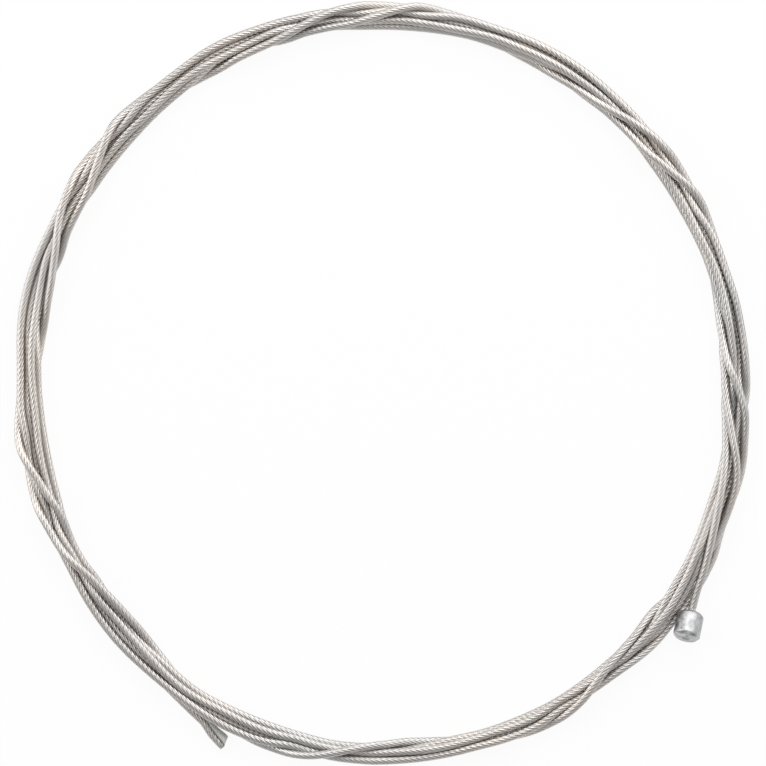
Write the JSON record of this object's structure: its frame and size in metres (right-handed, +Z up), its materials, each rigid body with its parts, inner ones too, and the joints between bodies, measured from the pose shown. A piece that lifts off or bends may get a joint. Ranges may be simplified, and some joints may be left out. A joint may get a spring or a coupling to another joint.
{
  "type": "shift cable",
  "caption": "Stranded steel bicycle shift cable with a cast barrel head, wound into a flat round coil, its cut end standing free.",
  "frame": {"origin": "middle of the coil, on the surface that it lies on", "axes": "+Z up out of the coil's plane, +Y along the coil's longer width, +X to the right with the barrel head at the lower right"},
  "size_m": [0.1102, 0.1144, 0.005],
  "materials": {
    "stranded_wire": "bright drawn and galvanised steel strand",
    "cast_head": "die-cast zinc alloy, bright satin"
  },
  "bodies": {
    "root": {"wire_coil": "stranded_wire", "wire_lead": "stranded_wire", "wire_tail": "stranded_wire", "cable_head": "cast_head"}
  },
  "joints": []
}
